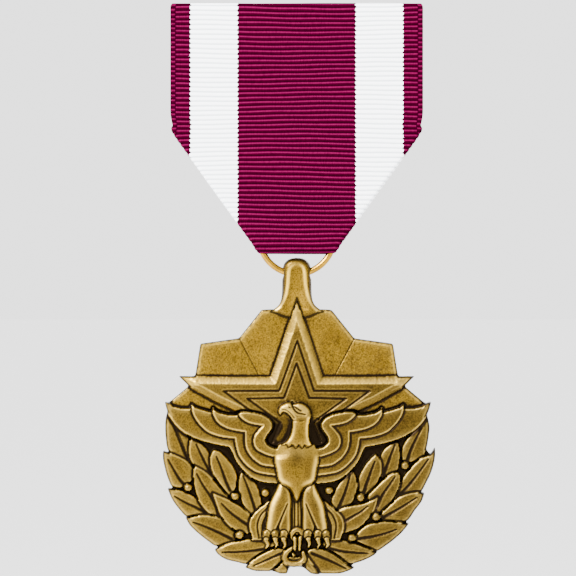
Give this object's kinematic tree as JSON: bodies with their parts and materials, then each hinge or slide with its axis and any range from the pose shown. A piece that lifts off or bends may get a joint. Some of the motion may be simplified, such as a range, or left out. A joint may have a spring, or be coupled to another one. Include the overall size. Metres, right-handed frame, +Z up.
{
  "type": "military service medal",
  "caption": "Bronze service medal with star, eagle and laurel relief, hanging by a ring from a striped ribbon drape on a pin brooch.",
  "frame": {"origin": "middle of the brooch pin's line, halfway across the ribbon", "axes": "+Z up as worn, +X to the viewer's right, +Y towards the wearer, so the front faces -Y"},
  "size_m": [0.0376, 0.0072, 0.0791],
  "materials": {
    "bronze": "antiqued bronze, rubbed bright on its edges",
    "ring": "gilt wire",
    "brooch": "stamped brass, satin",
    "steel": "bright drawn wire",
    "ribbon": "ribbed grosgrain with white stripes",
    "thread": "sewing thread"
  },
  "bodies": {
    "brooch": {"brooch_plate": "brooch", "pin_joint": "brooch", "joint_rivet": "brooch", "catch_base": "brooch", "ribbon_hem": "ribbon"},
    "pin": {"pin_stem": "steel"},
    "catch": {"catch_rotor": "brooch"},
    "drape": {"ribbon_drape": "ribbon", "seam_stitch_01": "thread", "seam_stitch_02": "thread", "seam_stitch_03": "thread", "seam_stitch_04": "thread", "seam_stitch_05": "thread", "seam_stitch_06": "thread", "seam_stitch_07": "thread", "seam_stitch_08": "thread", "seam_stitch_09": "thread", "seam_stitch_10": "thread", "seam_stitch_11": "thread", "seam_stitch_12": "thread"},
    "ring": {"suspension_ring": "ring"},
    "medal": {"planchet": "bronze"}
  },
  "joints": [
    {"name": "pin_open", "type": "hinge", "parent": "brooch", "child": "pin", "pos_m": [-0.0126, 0, 0], "axis": [0, 0, 1], "range_deg": [0, 100]},
    {"name": "catch_lock", "type": "hinge", "parent": "brooch", "child": "catch", "pos_m": [0.0122, 0, 0], "axis": [1, 0, 0], "range_deg": [0, 90]},
    {"name": "drape_swing", "type": "hinge", "parent": "brooch", "child": "drape", "pos_m": [0, -0.00405, -0.0058], "axis": [1, 0, 0], "range_deg": [-60, 30]},
    {"name": "ring_turn", "type": "hinge", "parent": "drape", "child": "ring", "pos_m": [0, -0.0038, -0.0277], "axis": [0, 1, 0], "range_deg": [-15, 15]},
    {"name": "medal_swing", "type": "hinge", "parent": "ring", "child": "medal", "pos_m": [0, -0.0038, -0.03285], "axis": [1, 0, 0], "range_deg": [-100, 100]}
  ]
}
